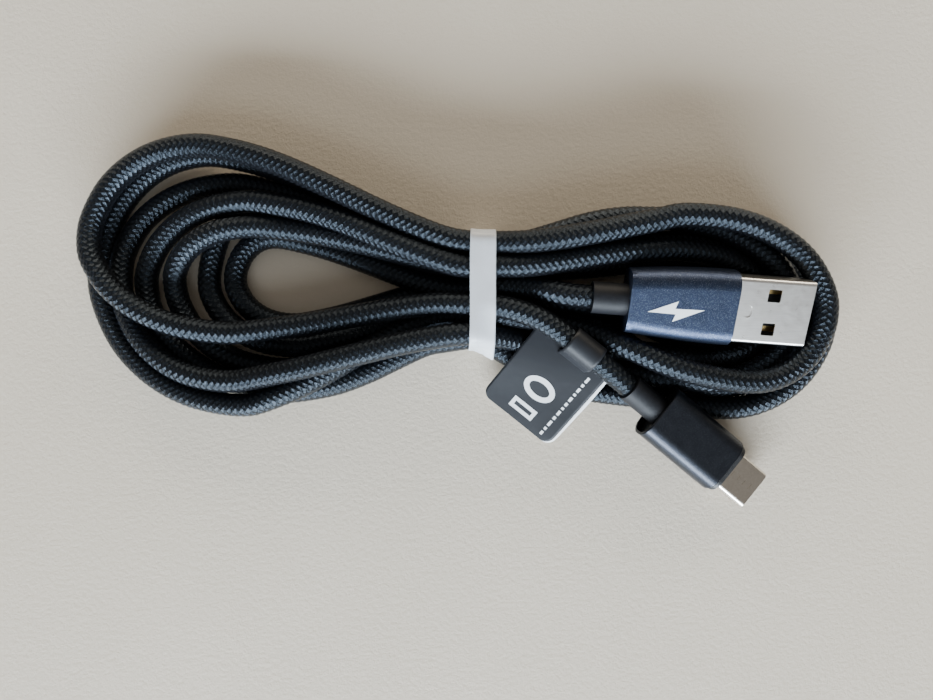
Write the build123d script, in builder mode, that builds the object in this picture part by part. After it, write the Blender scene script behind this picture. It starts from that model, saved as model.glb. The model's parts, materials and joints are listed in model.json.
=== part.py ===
from build123d import *

import math
import os

os.makedirs("parts", exist_ok=True)

# A braided charging cable, wound into a flat hank and held by a band. All sizes are in millimetres.
# The hank lies along X on the table plane Z = 0, with the origin at the middle of the whole footprint.

# Cord
CORD_D = 4.3
JACKET_D = 3.4
CORE_D = 0.9
CORE_BEND = 0.6
CRIMP_WALL = 0.6
ARC_SHARE = 0.45
A_RUN_IN = 3.5
C_RUN_IN = 6.5

# Cores, as (colour, x, y) where they leave the jacket
CORES = (("red", 0.55, 0.7), ("white", 0.55, -0.7), ("green", -0.55, -0.7), ("black", -0.55, 0.7))
CORE_RUN_OUT = 0.5

# Hank: two fans of loops, joined by a waist that the band squeezes
LEFT_FAN_HEIGHT = 8.4
RIGHT_FAN_HEIGHT = 4.4
RIGHT_BANK_HEIGHT = 8.4
WAIST_WIDTH = 21.7
WAIST_HEIGHT = 11.7
WAIST_LIFT = 0.4
WAIST_RADIUS = 3.2
WAIST_Y = 5.7
WAIST_START_X = -7.0
WAIST_END_X = 8.3
BAND_START_X = 3.0
BAND_WIDTH = 4.7
BAND_THICKNESS = 0.35
BAND_CLEARANCE = 0.05
FAN_GAP = 0.6

# USB-A plug, measured along its axis from the rear face of its strain relief
USB_A_ORIGIN = (25.2, 4.5, 10.5)
USB_A_HEADING = -4.2
USB_A_PITCH = 0.0
USB_A_ROLL = 18.0
A_RELIEF_D = 5.8
A_RELIEF_LENGTH = 8.3
A_HOUSING_START = 6.3
A_HOUSING_LENGTH = 19.0
A_HOUSING_SECTIONS = ((0.0, 11.6, 7.4), (0.55, 13.3, 8.0), (1.0, 13.6, 8.0))
A_HOUSING_RADIUS = 3.1
A_CAVITY_RADIUS = 1.6
A_WALL = 0.6
A_REAR_WALL = 1.0
A_FRONT_RECESS = 0.6
A_SHELL_WIDTH = 12.0
A_SHELL_HEIGHT = 4.5
A_SHELL_WALL = 0.3
A_SHELL_RADIUS = 0.7
A_SHELL_START = 20.2
A_SHELL_EXPOSED = 13.7
A_WINDOW = 2.3
A_WINDOW_RADIUS = 0.2
A_WINDOW_SPACING = 6.2
A_WINDOW_FROM_TIP = 7.0
A_DIMPLE_WIDTH = 2.3
A_DIMPLE_LENGTH = 1.4
A_DIMPLE_DEPTH = 0.2
A_DIMPLE_FROM_TIP = 11.2
A_TONGUE_HEIGHT = 1.9
A_CARRIER_GAP = 0.15
A_CONTACT_WIDTH = 1.0
A_CONTACT_THICKNESS = 0.25
A_CRIMP_START = 8.8
A_CRIMP_LENGTH = 4.0
A_TAIL_START = 17.0
A_BLOCK_END = 24.6
A_CARRIER_SET_BACK = 0.3
A_PAD_AT = 19.0
A_PAD_APPROACH = 16.4
A_CONTACTS = (
    ("vbus", 3.5, 37.4),
    ("data_minus", 1.0, 36.4),
    ("data_plus", -1.0, 36.4),
    ("ground", -3.5, 37.4),
)

# USB-C plug, measured the same way
USB_C_ORIGIN = (32.5, -12.0, 8.85)
USB_C_HEADING = -38.8
USB_C_PITCH = 11.0
C_RELIEF_D = 5.3
C_RELIEF_LENGTH = 8.6
C_HOUSING_START = 6.9
C_HOUSING_LENGTH = 17.6
C_HOUSING_WIDTH = 11.2
C_HOUSING_HEIGHT = 6.4
C_HOUSING_RADIUS = 2.7
C_WALL = 0.5
C_REAR_RECESS = 1.2
C_RING_LENGTH = 0.8
C_RING_STEP = 0.45
C_SHELL_WIDTH = 8.25
C_SHELL_HEIGHT = 2.4
C_SHELL_WALL = 0.25
C_SHELL_START = 20.0
C_SHELL_EXPOSED = 7.4
C_SLOT_WIDTH = 6.7
C_SLOT_HEIGHT = 0.8
C_CONTACT_WIDTH = 0.26
C_CONTACT_THICKNESS = 0.16
C_CONTACT_RECESS = 0.01
C_UPPER_CONTACTS = (-2.75, -1.25, -0.75, -0.25, 0.25, 1.25, 2.75)
C_LOWER_CONTACTS = (-2.75, -1.25, 1.25, 2.75)
C_BOARD_START = 15.2
C_BOARD_WIDTH = 8.4
C_BOARD_THICKNESS = 0.8
C_CRIMP_START = 8.9
C_CRIMP_LENGTH = 3.6
C_EDGE = 0.3
C_REST_ROOM = 12.0
C_SPIGOT_LENGTH = 2.0
C_SHELL_RADIUS = 1.15
C_INSULATOR_SET_BACK = 0.2
C_FRONT_RECESS = 0.3
C_SEAM_PITCH = 1.5
C_SEAM_SWING = 0.55
C_SEAM_GAP = 0.1
C_SEAM_DEPTH = 0.1
C_SLOT_START = 23.5
C_TAIL_START = 18.6
C_CONTACT_END = 31.8
C_LATCH_START = 20.6
C_LATCH_WIDTH = 6.5
C_LATCH_THICKNESS = 0.15
C_LATCH_ARM_HEIGHT = 0.6
C_LATCH_REACH = 31.0
C_LATCH_OVERLAP = 0.5
C_LATCH_ARM_SET_BACK = 0.1
C_RESISTOR_AT = 17.6
C_RESISTOR_LENGTH = 1.6
C_RESISTOR_WIDTH = 0.8
C_RESISTOR_HEIGHT = 0.45
C_PADS = (2.8, 1.0, -1.0, -2.8)
C_PAD_AT = 16.6
C_PAD_APPROACH = 14.8
C_POCKET_MARGIN = 1.0

# Label: a strip wrapped round the lead, with a flag that hangs from it
SLEEVE_CLEARANCE = 0.3
SLEEVE_WALL = 0.25
SLEEVE_WIDTH = 6.4
SLEEVE_ALONG_RUN = 8.4
FLAG_BACK = 9.2
FLAG_FRONT = 7.1
FLAG_NEAR = 2.8
FLAG_FAR = 19.6
FLAG_RADIUS = 2.0
FLAG_THICKNESS = 0.3
FLAG_DROOP = 17.0

FIT = 0.05


def plug_frame(origin, heading, pitch, roll=0.0):
    """Plane at a plug's rear: its normal points to the tip, x to the plug's left side, y up."""
    turn, dip, lean = math.radians(heading), math.radians(pitch), math.radians(roll)
    axis = Vector(math.cos(turn) * math.cos(dip), math.sin(turn) * math.cos(dip), -math.sin(dip))
    level_side = Vector(-math.sin(turn), math.cos(turn), 0)
    level_up = axis.cross(level_side)
    side = level_side * math.cos(lean) + level_up * math.sin(lean)
    return Plane(origin=origin, x_dir=side, z_dir=axis)


def tangent_radii(route):
    """The largest arc that each corner's shorter run allows, one radius for each inner point."""
    radii = []
    for before, corner, after in zip(route, route[1:], route[2:]):
        run_in = Vector(corner) - Vector(before)
        run_out = Vector(after) - Vector(corner)
        half_turn = math.radians(run_in.get_angle(run_out)) / 2
        radii.append(ARC_SHARE * min(run_in.length, run_out.length) / math.tan(half_turn))
    return radii


def report_tube(name, tube, route, radii):
    """Print the arc radii, and the tube's volume beside its section times its length."""
    path_length = FilletPolyline(*route, radius=radii, mode=Mode.PRIVATE).length
    expected = math.pi * (CORD_D / 2) ** 2 * path_length
    print(name, "radii", [round(radius, 1) for radius in radii], "length", round(path_length, 1))
    print(name, "volume", round(tube.part.volume, 1), "expected", round(expected, 1))


def save(piece, label):
    """Label the finished piece and write it to its own file."""
    piece.part.label = label
    export_step(piece.part, f"parts/{label}.step")


usb_a = plug_frame(USB_A_ORIGIN, USB_A_HEADING, USB_A_PITCH, USB_A_ROLL)
usb_c = plug_frame(USB_C_ORIGIN, USB_C_HEADING, USB_C_PITCH)

# ---------------------------------------------------------------- cord

# Route of the lead from the waist to the USB-A strain relief
usb_a_route = [
    (8.3, 6.75, 7.85),
    (11.6, 6.75, 7.85),
    (14.9, 6.3, 8.45),
    (18.2, 5.5, 9.8),
    tuple(usb_a.origin - usb_a.z_dir * A_RUN_IN),
    tuple(usb_a.origin),
]

# Route of the lead from the waist to the USB-C strain relief, straight where the label hangs
usb_c_route = [
    (8.3, 2.9, 10.0),
    (11.5, 2.2, 10.2),
    (17.3, 0.1, 10.25),
    tuple(usb_c.origin - usb_c.z_dir * C_RUN_IN),
    tuple(usb_c.origin),
]

usb_a_radii = tangent_radii(usb_a_route)
with BuildPart() as cord_lead_usb_a:
    with BuildLine() as path:
        FilletPolyline(*usb_a_route, radius=usb_a_radii)
    with BuildSketch(Plane(origin=path.line @ 0, z_dir=path.line % 0)):
        Circle(CORD_D / 2)
    sweep(path=path.line)
report_tube("cord_lead_usb_a", cord_lead_usb_a, usb_a_route, usb_a_radii)
save(cord_lead_usb_a, "cord_lead_usb_a")

usb_c_radii = tangent_radii(usb_c_route)
with BuildPart() as cord_lead_usb_c:
    with BuildLine() as path:
        FilletPolyline(*usb_c_route, radius=usb_c_radii)
    with BuildSketch(Plane(origin=path.line @ 0, z_dir=path.line % 0)):
        Circle(CORD_D / 2)
    sweep(path=path.line)
report_tube("cord_lead_usb_c", cord_lead_usb_c, usb_c_route, usb_c_radii)
save(cord_lead_usb_c, "cord_lead_usb_c")

# The hank's outer shape: the left fan with its open eye, the right fan with its eye and the
# bank of doubled turns along its upper side, and the waist between them.
left_end_x = BAND_START_X - FAN_GAP
right_start_x = BAND_START_X + BAND_WIDTH + FAN_GAP
with BuildPart() as cord_hank:
    with BuildSketch(Plane.XY):
        with BuildLine():
            Spline(
                (left_end_x, 16.4),
                (-14.0, 24.9),
                (-29.3, 32.2),
                (-48.5, 36.4),
                (-64.8, 30.9),
                (-72.1, 17.8),
                (-68.8, 3.5),
                (-62.9, -5.5),
                (-48.5, -14.9),
                (-38.9, -16.4),
                (-17.9, -12.0),
                (left_end_x, -4.9),
            )
            Line((left_end_x, -4.9), (left_end_x, 16.4))
        make_face()
        with BuildLine():
            Spline(
                (-8.7, 9.4),
                (-19.8, 12.7),
                (-30.0, 14.2),
                (-39.3, 14.0),
                (-38.0, 7.5),
                (-31.0, 2.6),
                (-16.0, 6.5),
                (-8.7, 9.4),
            )
        make_face(mode=Mode.SUBTRACT)
    extrude(amount=LEFT_FAN_HEIGHT)
    with BuildSketch(Plane.XY):
        with BuildLine():
            Spline(
                (right_start_x, 16.4),
                (20.5, 19.4),
                (43.4, 22.0),
                (58.8, 18.8),
                (68.7, 10.6),
                (72.1, 0.6),
                (67.4, -9.9),
                (54.9, -18.2),
                (39.6, -19.5),
                (28.1, -15.7),
                (right_start_x, -4.9),
            )
            Line((right_start_x, -4.9), (right_start_x, 16.4))
        make_face()
        with BuildLine():
            Spline(
                (15.3, 5.5),
                (24.3, 9.2),
                (33.9, 11.1),
                (46.0, 10.6),
                (53.5, 6.3),
                (54.8, 0.0),
                (49.5, -6.4),
                (39.6, -4.2),
                (28.1, 0.2),
                (15.3, 5.5),
            )
        make_face(mode=Mode.SUBTRACT)
    extrude(amount=RIGHT_FAN_HEIGHT)
    with BuildSketch(Plane.XY):
        with BuildLine():
            Spline(
                (right_start_x, 16.0),
                (20.5, 18.8),
                (43.4, 21.4),
                (56.0, 18.6),
                (46.0, 14.2),
                (24.0, 12.2),
                (right_start_x, 9.4),
            )
            Line((right_start_x, 9.4), (right_start_x, 16.0))
        make_face()
    extrude(amount=RIGHT_BANK_HEIGHT)
    with BuildSketch(Plane.YZ.offset(WAIST_START_X)):
        with Locations((WAIST_Y, WAIST_LIFT + WAIST_HEIGHT / 2)):
            RectangleRounded(WAIST_WIDTH, WAIST_HEIGHT, WAIST_RADIUS)
    extrude(amount=WAIST_END_X - WAIST_START_X)
    with BuildSketch(usb_c.offset(C_HOUSING_START - C_POCKET_MARGIN)):
        with Locations((0, C_REST_ROOM / 2 - C_HOUSING_HEIGHT / 2 - 2 * FIT)):
            Rectangle(C_HOUSING_WIDTH + C_POCKET_MARGIN, C_REST_ROOM)
    extrude(amount=C_HOUSING_LENGTH, mode=Mode.SUBTRACT)
save(cord_hank, "cord_hank")

with BuildPart() as tie_band:
    with BuildSketch(Plane.YZ.offset(BAND_START_X)):
        with Locations((WAIST_Y, WAIST_LIFT + WAIST_HEIGHT / 2)):
            outer_growth = 2 * (BAND_CLEARANCE + BAND_THICKNESS)
            inner_growth = 2 * BAND_CLEARANCE
            RectangleRounded(
                WAIST_WIDTH + outer_growth, WAIST_HEIGHT + outer_growth, WAIST_RADIUS + outer_growth / 2
            )
            RectangleRounded(
                WAIST_WIDTH + inner_growth,
                WAIST_HEIGHT + inner_growth,
                WAIST_RADIUS + inner_growth / 2,
                mode=Mode.SUBTRACT,
            )
    extrude(amount=BAND_WIDTH)
save(tie_band, "tie_band")

# ---------------------------------------------------------------- label

# The sleeve's plane looks along the lead, with x pointing the way the flag hangs. The flag's own
# plane has the same x, faces up, and has y along the lead.
label_start = Vector(usb_c_route[2])
label_axis = (Vector(usb_c_route[3]) - label_start).normalized()
label_centre = label_start + label_axis * SLEEVE_ALONG_RUN
label_level = Vector(0, 0, 1).cross(label_axis).normalized()
label_up = label_axis.cross(label_level)
droop = math.radians(FLAG_DROOP)
flag_out = label_level * -math.cos(droop) - label_up * math.sin(droop)
sleeve_plane = Plane(origin=label_centre, x_dir=flag_out, z_dir=label_axis)
sleeve_inner = CORD_D / 2 + SLEEVE_CLEARANCE
sleeve_outer = sleeve_inner + SLEEVE_WALL
flag_origin = label_centre + sleeve_plane.y_dir * sleeve_outer
flag_plane = Plane(origin=flag_origin, x_dir=flag_out, z_dir=-sleeve_plane.y_dir)
with BuildPart() as cable_label:
    with BuildSketch(sleeve_plane.offset(-SLEEVE_WIDTH / 2)):
        Circle(sleeve_outer)
    extrude(amount=SLEEVE_WIDTH)
    with BuildSketch(flag_plane):
        with Locations(((FLAG_NEAR + FLAG_FAR) / 2, (FLAG_FRONT - FLAG_BACK) / 2)):
            RectangleRounded(FLAG_FAR - FLAG_NEAR, FLAG_BACK + FLAG_FRONT, FLAG_RADIUS)
        with Locations(((FLAG_NEAR + FLAG_RADIUS) / 2, 0)):
            Rectangle(FLAG_NEAR + FLAG_RADIUS, SLEEVE_WIDTH)
    extrude(amount=FLAG_THICKNESS)
    with BuildSketch(sleeve_plane.offset(-SLEEVE_WIDTH / 2)):
        Circle(sleeve_inner)
    extrude(amount=SLEEVE_WIDTH, mode=Mode.SUBTRACT)
save(cable_label, "cable_label")
print("label hinge", tuple(label_centre), "axis", tuple(label_axis))

# ---------------------------------------------------------------- shared plug pieces


def lying_plane(frame, distance, height):
    """Plane facing up through the plug, with x across it, at a distance and a height on its axis."""
    origin = frame.origin + frame.z_dir * distance + frame.y_dir * height
    return Plane(origin=origin, x_dir=frame.x_dir, z_dir=frame.y_dir)


def core_route(frame, start, end, pad_distance):
    """A core's route from the jacket's end to its solder pad; start and end are (x, y, distance)."""
    stops = (
        start,
        (start[0], start[1], start[2] + CORE_RUN_OUT),
        (end[0], end[1], pad_distance),
        end,
    )
    return [frame.origin + frame.x_dir * x + frame.y_dir * y + frame.z_dir * z for x, y, z in stops]


# ---------------------------------------------------------------- USB-A plug

a_shell_end = A_HOUSING_START + A_HOUSING_LENGTH + A_SHELL_EXPOSED
a_front = A_HOUSING_START + A_HOUSING_LENGTH
a_inner_width = A_SHELL_WIDTH - 2 * A_SHELL_WALL
a_inner_height = A_SHELL_HEIGHT - 2 * A_SHELL_WALL
a_tongue_top = -a_inner_height / 2 + A_TONGUE_HEIGHT
a_jacket_stop = A_CRIMP_START + A_CRIMP_LENGTH

with BuildPart() as usb_a_strain_relief:
    with BuildSketch(usb_a):
        Circle(A_RELIEF_D / 2)
        Circle(JACKET_D / 2 + FIT, mode=Mode.SUBTRACT)
    extrude(amount=A_RELIEF_LENGTH)
save(usb_a_strain_relief, "usb_a_strain_relief")

with BuildPart() as usb_a_jacket_end:
    with BuildSketch(usb_a):
        Circle(JACKET_D / 2)
    extrude(amount=a_jacket_stop)
save(usb_a_jacket_end, "usb_a_jacket_end")

with BuildPart() as usb_a_crimp:
    with BuildSketch(usb_a.offset(A_CRIMP_START)):
        Circle(JACKET_D / 2 + CRIMP_WALL)
        Circle(JACKET_D / 2 + FIT, mode=Mode.SUBTRACT)
    extrude(amount=A_CRIMP_LENGTH)
save(usb_a_crimp, "usb_a_crimp")

# The housing's cavity, tapered like its outside; the mould inside has the same shape
with BuildPart() as usb_a_cavity:
    for share, width, height in A_HOUSING_SECTIONS:
        with BuildSketch(usb_a.offset(A_HOUSING_START + share * A_HOUSING_LENGTH)):
            RectangleRounded(width - 2 * A_WALL, height - 2 * A_WALL, A_CAVITY_RADIUS)
    loft()

with BuildPart() as usb_a_housing:
    for share, width, height in A_HOUSING_SECTIONS:
        with BuildSketch(usb_a.offset(A_HOUSING_START + share * A_HOUSING_LENGTH)):
            RectangleRounded(width, height, A_HOUSING_RADIUS)
    loft()
    add(usb_a_cavity.part, mode=Mode.SUBTRACT)
    with BuildSketch(usb_a.offset(A_HOUSING_START)):
        rear_width, rear_height = A_HOUSING_SECTIONS[0][1:]
        RectangleRounded(rear_width - A_WALL, rear_height - A_WALL, A_CAVITY_RADIUS)
        Circle(A_RELIEF_D / 2 + FIT, mode=Mode.SUBTRACT)
    extrude(amount=A_REAR_WALL)
save(usb_a_housing, "usb_a_housing")

with BuildPart() as usb_a_shell:
    with BuildSketch(usb_a.offset(A_SHELL_START)):
        RectangleRounded(A_SHELL_WIDTH, A_SHELL_HEIGHT, A_SHELL_RADIUS)
        RectangleRounded(
            a_inner_width, a_inner_height, A_SHELL_RADIUS - A_SHELL_WALL, mode=Mode.SUBTRACT
        )
    extrude(amount=a_shell_end - A_SHELL_START)
    with BuildSketch(lying_plane(usb_a, a_shell_end - A_WINDOW_FROM_TIP, 0)):
        with GridLocations(A_WINDOW_SPACING, 1, 2, 1):
            RectangleRounded(A_WINDOW, A_WINDOW, A_WINDOW_RADIUS)
    extrude(amount=A_SHELL_HEIGHT, both=True, mode=Mode.SUBTRACT)
    with BuildSketch(lying_plane(usb_a, a_shell_end - A_DIMPLE_FROM_TIP, A_SHELL_HEIGHT / 2)):
        SlotOverall(A_DIMPLE_WIDTH, A_DIMPLE_LENGTH)
    extrude(amount=-A_DIMPLE_DEPTH, mode=Mode.SUBTRACT)
save(usb_a_shell, "usb_a_shell")

contact_y = a_tongue_top - A_CONTACT_THICKNESS / 2
with BuildPart() as usb_a_contact_carrier:
    carrier_width = a_inner_width - 2 * A_CARRIER_GAP
    tongue_height = A_TONGUE_HEIGHT - A_CARRIER_GAP
    with BuildSketch(usb_a.offset(A_SHELL_START + A_CARRIER_SET_BACK)):
        Rectangle(carrier_width, a_inner_height - 2 * A_CARRIER_GAP)
    extrude(amount=A_BLOCK_END - A_SHELL_START - A_CARRIER_SET_BACK)
    with BuildSketch(usb_a.offset(A_BLOCK_END)):
        with Locations((0, a_tongue_top - tongue_height / 2)):
            Rectangle(carrier_width, tongue_height)
    extrude(amount=a_shell_end - A_BLOCK_END - A_FRONT_RECESS)
    for name, across, reach in A_CONTACTS:
        with BuildSketch(usb_a.offset(A_TAIL_START)):
            with Locations((across, contact_y)):
                Rectangle(A_CONTACT_WIDTH + 2 * FIT, A_CONTACT_THICKNESS + 2 * FIT)
        extrude(amount=reach + FIT - A_TAIL_START, mode=Mode.SUBTRACT)
save(usb_a_contact_carrier, "usb_a_contact_carrier")

usb_a_contacts = []
for name, across, reach in A_CONTACTS:
    with BuildPart() as usb_a_contact:
        with BuildSketch(usb_a.offset(A_TAIL_START)):
            with Locations((across, contact_y)):
                Rectangle(A_CONTACT_WIDTH, A_CONTACT_THICKNESS)
        extrude(amount=reach - A_TAIL_START)
    save(usb_a_contact, f"usb_a_contact_{name}")
    usb_a_contacts.append(usb_a_contact)

usb_a_cores = []
for (colour, core_x, core_y), (name, across, reach) in zip(CORES, A_CONTACTS):
    pad_y = a_tongue_top + CORE_D / 2 + FIT
    route = core_route(usb_a, (core_x, core_y, a_jacket_stop), (across, pad_y, A_PAD_AT), A_PAD_APPROACH)
    with BuildPart() as usb_a_core:
        with BuildLine() as path:
            FilletPolyline(*route, radius=CORE_BEND)
        with BuildSketch(Plane(origin=path.line @ 0, z_dir=path.line % 0)):
            Circle(CORE_D / 2)
        sweep(path=path.line)
    save(usb_a_core, f"usb_a_core_{colour}")
    usb_a_cores.append(usb_a_core)

with BuildPart() as usb_a_inner_mould:
    add(usb_a_cavity.part)
    mould_start = A_HOUSING_START + A_REAR_WALL + FIT
    mould_end = a_front - A_FRONT_RECESS
    split(bisect_by=usb_a.offset(mould_start), keep=Keep.TOP)
    split(bisect_by=usb_a.offset(mould_end), keep=Keep.BOTTOM)
    with BuildSketch(usb_a):
        Circle(A_RELIEF_D / 2 + FIT)
    extrude(amount=A_RELIEF_LENGTH + FIT, mode=Mode.SUBTRACT)
    with BuildSketch(usb_a):
        Circle(JACKET_D / 2 + CRIMP_WALL + FIT)
    extrude(amount=a_jacket_stop, mode=Mode.SUBTRACT)
    with BuildSketch(usb_a.offset(A_SHELL_START)):
        RectangleRounded(A_SHELL_WIDTH + 2 * FIT, A_SHELL_HEIGHT + 2 * FIT, A_SHELL_RADIUS + FIT)
    extrude(amount=a_shell_end - A_SHELL_START, mode=Mode.SUBTRACT)
    for piece in usb_a_contacts + usb_a_cores:
        add(piece.part, mode=Mode.SUBTRACT)
save(usb_a_inner_mould, "usb_a_inner_mould")

# ---------------------------------------------------------------- USB-C plug

c_front = C_HOUSING_START + C_HOUSING_LENGTH
c_ring_end = c_front + C_RING_LENGTH
c_shell_end = c_ring_end + C_SHELL_EXPOSED
c_inner_width = C_SHELL_WIDTH - 2 * C_SHELL_WALL
c_inner_height = C_SHELL_HEIGHT - 2 * C_SHELL_WALL
c_cavity_width = C_HOUSING_WIDTH - 2 * C_WALL
c_cavity_height = C_HOUSING_HEIGHT - 2 * C_WALL
c_cavity_radius = C_HOUSING_RADIUS - C_WALL
c_jacket_stop = C_CRIMP_START + C_CRIMP_LENGTH
c_insulator_radius = C_SHELL_RADIUS - C_SHELL_WALL - FIT
c_contact_y = C_SLOT_HEIGHT / 2 + C_CONTACT_THICKNESS / 2 + C_CONTACT_RECESS

with BuildPart() as usb_c_strain_relief:
    with BuildSketch(usb_c):
        Circle(C_RELIEF_D / 2)
        Circle(JACKET_D / 2 + FIT, mode=Mode.SUBTRACT)
    extrude(amount=C_RELIEF_LENGTH)
save(usb_c_strain_relief, "usb_c_strain_relief")

with BuildPart() as usb_c_jacket_end:
    with BuildSketch(usb_c):
        Circle(JACKET_D / 2)
    extrude(amount=c_jacket_stop)
save(usb_c_jacket_end, "usb_c_jacket_end")

with BuildPart() as usb_c_crimp:
    with BuildSketch(usb_c.offset(C_CRIMP_START)):
        Circle(JACKET_D / 2 + CRIMP_WALL)
        Circle(JACKET_D / 2 + FIT, mode=Mode.SUBTRACT)
    extrude(amount=C_CRIMP_LENGTH)
save(usb_c_crimp, "usb_c_crimp")

with BuildPart() as usb_c_housing:
    with BuildSketch(usb_c.offset(C_HOUSING_START)):
        RectangleRounded(C_HOUSING_WIDTH, C_HOUSING_HEIGHT, C_HOUSING_RADIUS)
    extrude(amount=C_HOUSING_LENGTH)
    chamfer(usb_c_housing.faces().sort_by(Axis(usb_c.origin, usb_c.z_dir))[-1].edges(), C_EDGE)
    chamfer(usb_c_housing.faces().sort_by(Axis(usb_c.origin, usb_c.z_dir))[0].edges(), C_EDGE / 2)
    with BuildSketch(usb_c.offset(C_HOUSING_START)):
        RectangleRounded(c_cavity_width, c_cavity_height, c_cavity_radius)
    extrude(amount=C_HOUSING_LENGTH, mode=Mode.SUBTRACT)
save(usb_c_housing, "usb_c_housing")

with BuildPart() as usb_c_front_ring:
    with BuildSketch(usb_c.offset(c_front - C_SPIGOT_LENGTH)):
        RectangleRounded(c_cavity_width - 2 * FIT, c_cavity_height - 2 * FIT, c_cavity_radius - FIT)
    extrude(amount=C_SPIGOT_LENGTH)
    with BuildSketch(usb_c.offset(c_front)):
        RectangleRounded(
            C_HOUSING_WIDTH - 2 * C_RING_STEP,
            C_HOUSING_HEIGHT - 2 * C_RING_STEP,
            C_HOUSING_RADIUS - C_RING_STEP,
        )
    extrude(amount=C_RING_LENGTH)
    with BuildSketch(usb_c.offset(c_front - C_SPIGOT_LENGTH)):
        RectangleRounded(C_SHELL_WIDTH + 2 * FIT, C_SHELL_HEIGHT + 2 * FIT, C_SHELL_RADIUS + FIT)
    extrude(amount=C_SPIGOT_LENGTH + C_RING_LENGTH, mode=Mode.SUBTRACT)
save(usb_c_front_ring, "usb_c_front_ring")

# The shell is bent round from one strip, and its edges interlock in a seam along the top
with BuildPart() as usb_c_shell:
    with BuildSketch(usb_c.offset(C_SHELL_START)):
        RectangleRounded(C_SHELL_WIDTH, C_SHELL_HEIGHT, C_SHELL_RADIUS)
        RectangleRounded(
            c_inner_width, c_inner_height, C_SHELL_RADIUS - C_SHELL_WALL, mode=Mode.SUBTRACT
        )
    extrude(amount=c_shell_end - C_SHELL_START)
    seam_teeth = round(C_SHELL_EXPOSED / C_SEAM_PITCH)
    with BuildSketch(lying_plane(usb_c, c_shell_end, C_SHELL_HEIGHT / 2)):
        for tooth in range(seam_teeth):
            side = C_SEAM_SWING if tooth % 2 else -C_SEAM_SWING
            with Locations((side, (tooth + 0.5) * C_SEAM_PITCH)):
                Rectangle(C_SEAM_GAP, C_SEAM_PITCH + C_SEAM_GAP)
            with Locations((0, (tooth + 1) * C_SEAM_PITCH)):
                Rectangle(2 * C_SEAM_SWING, C_SEAM_GAP)
    extrude(amount=-C_SEAM_DEPTH, mode=Mode.SUBTRACT)
save(usb_c_shell, "usb_c_shell")

with BuildPart() as usb_c_insulator:
    with BuildSketch(usb_c.offset(C_SHELL_START + C_INSULATOR_SET_BACK)):
        RectangleRounded(c_inner_width - 2 * FIT, c_inner_height - 2 * FIT, c_insulator_radius)
    extrude(amount=c_shell_end - C_SHELL_START - C_INSULATOR_SET_BACK - C_FRONT_RECESS)
    with BuildSketch(usb_c.offset(C_SLOT_START)):
        Rectangle(C_SLOT_WIDTH, C_SLOT_HEIGHT)
    extrude(amount=c_shell_end - C_SLOT_START, mode=Mode.SUBTRACT)
    with BuildSketch(usb_c.offset(C_SHELL_START)):
        for side, row in ((1, C_UPPER_CONTACTS), (-1, C_LOWER_CONTACTS)):
            for across in row:
                with Locations((across, side * c_contact_y)):
                    Rectangle(C_CONTACT_WIDTH + 2 * FIT, C_CONTACT_THICKNESS + 2 * FIT)
    extrude(amount=C_CONTACT_END + FIT - C_SHELL_START, mode=Mode.SUBTRACT)
    with BuildSketch(usb_c.offset(C_LATCH_START - FIT)):
        Rectangle(C_LATCH_WIDTH + 2 * FIT, C_LATCH_THICKNESS + 2 * FIT)
    extrude(amount=C_SLOT_START - C_LATCH_START + 2 * FIT, mode=Mode.SUBTRACT)
save(usb_c_insulator, "usb_c_insulator")

c_rows = []
for side, row_name, row in ((1, "upper", C_UPPER_CONTACTS), (-1, "lower", C_LOWER_CONTACTS)):
    with BuildPart() as usb_c_row:
        with BuildSketch(usb_c.offset(C_TAIL_START)):
            for across in row:
                with Locations((across, side * c_contact_y)):
                    Rectangle(C_CONTACT_WIDTH, C_CONTACT_THICKNESS)
        extrude(amount=C_CONTACT_END - C_TAIL_START)
    save(usb_c_row, f"usb_c_contacts_{row_name}")
    c_rows.append(usb_c_row)

with BuildPart() as usb_c_latch:
    with BuildSketch(usb_c.offset(C_LATCH_START)):
        Rectangle(C_LATCH_WIDTH, C_LATCH_THICKNESS)
    extrude(amount=C_SLOT_START + C_LATCH_OVERLAP - C_LATCH_START)
    with BuildSketch(usb_c.offset(C_SLOT_START + C_LATCH_ARM_SET_BACK)):
        with GridLocations(C_LATCH_WIDTH - C_LATCH_THICKNESS, 1, 2, 1):
            Rectangle(C_LATCH_THICKNESS, C_LATCH_ARM_HEIGHT)
    extrude(amount=C_LATCH_REACH - C_SLOT_START)
save(usb_c_latch, "usb_c_latch")

with BuildPart() as usb_c_circuit_board:
    with BuildSketch(usb_c.offset(C_BOARD_START)):
        Rectangle(C_BOARD_WIDTH, C_BOARD_THICKNESS)
    extrude(amount=C_SHELL_START - C_BOARD_START - FIT)
save(usb_c_circuit_board, "usb_c_circuit_board")

with BuildPart() as usb_c_resistor:
    with BuildSketch(lying_plane(usb_c, C_RESISTOR_AT, C_BOARD_THICKNESS / 2)):
        Rectangle(C_RESISTOR_LENGTH, C_RESISTOR_WIDTH)
    extrude(amount=C_RESISTOR_HEIGHT)
save(usb_c_resistor, "usb_c_resistor")

usb_c_cores = []
for (colour, core_x, core_y), across in zip(CORES, C_PADS):
    pad_y = C_BOARD_THICKNESS / 2 + CORE_D / 2 + FIT
    route = core_route(usb_c, (core_x, core_y, c_jacket_stop), (across, pad_y, C_PAD_AT), C_PAD_APPROACH)
    with BuildPart() as usb_c_core:
        with BuildLine() as path:
            FilletPolyline(*route, radius=CORE_BEND)
        with BuildSketch(Plane(origin=path.line @ 0, z_dir=path.line % 0)):
            Circle(CORE_D / 2)
        sweep(path=path.line)
    save(usb_c_core, f"usb_c_core_{colour}")
    usb_c_cores.append(usb_c_core)

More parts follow.
